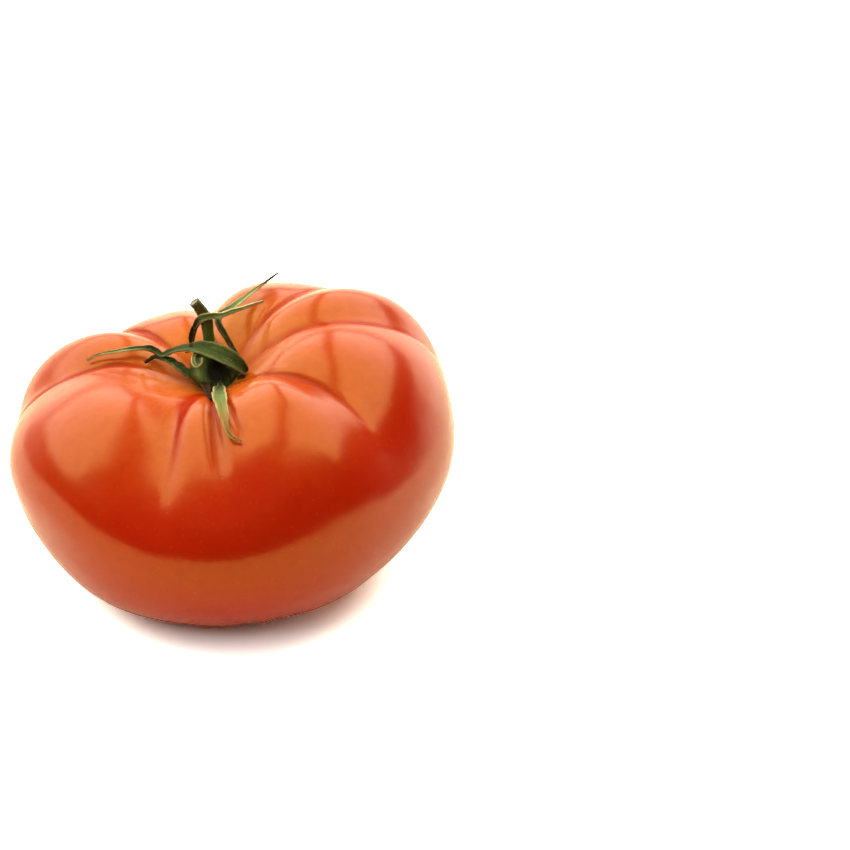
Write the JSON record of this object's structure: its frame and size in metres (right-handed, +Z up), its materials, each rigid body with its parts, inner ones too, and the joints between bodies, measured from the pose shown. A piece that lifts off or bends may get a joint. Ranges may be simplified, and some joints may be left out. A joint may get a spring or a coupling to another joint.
{
  "type": "beefsteak tomato",
  "caption": "Ripe ribbed beefsteak tomato with its dried green calyx and a short stub of stem, standing on a small flat spot under the fruit.",
  "frame": {"origin": "middle of the small flat spot that the fruit rests on", "axes": "+Z up; the side with the long front sepal looks along -Y; +X to its right"},
  "size_m": [0.0956, 0.0945, 0.0639],
  "materials": {
    "skin": "gloss",
    "leaf": "matte",
    "stem": "matte"
  },
  "bodies": {
    "root": {"fruit": "skin", "calyx": "leaf", "stem": "stem"}
  },
  "joints": []
}
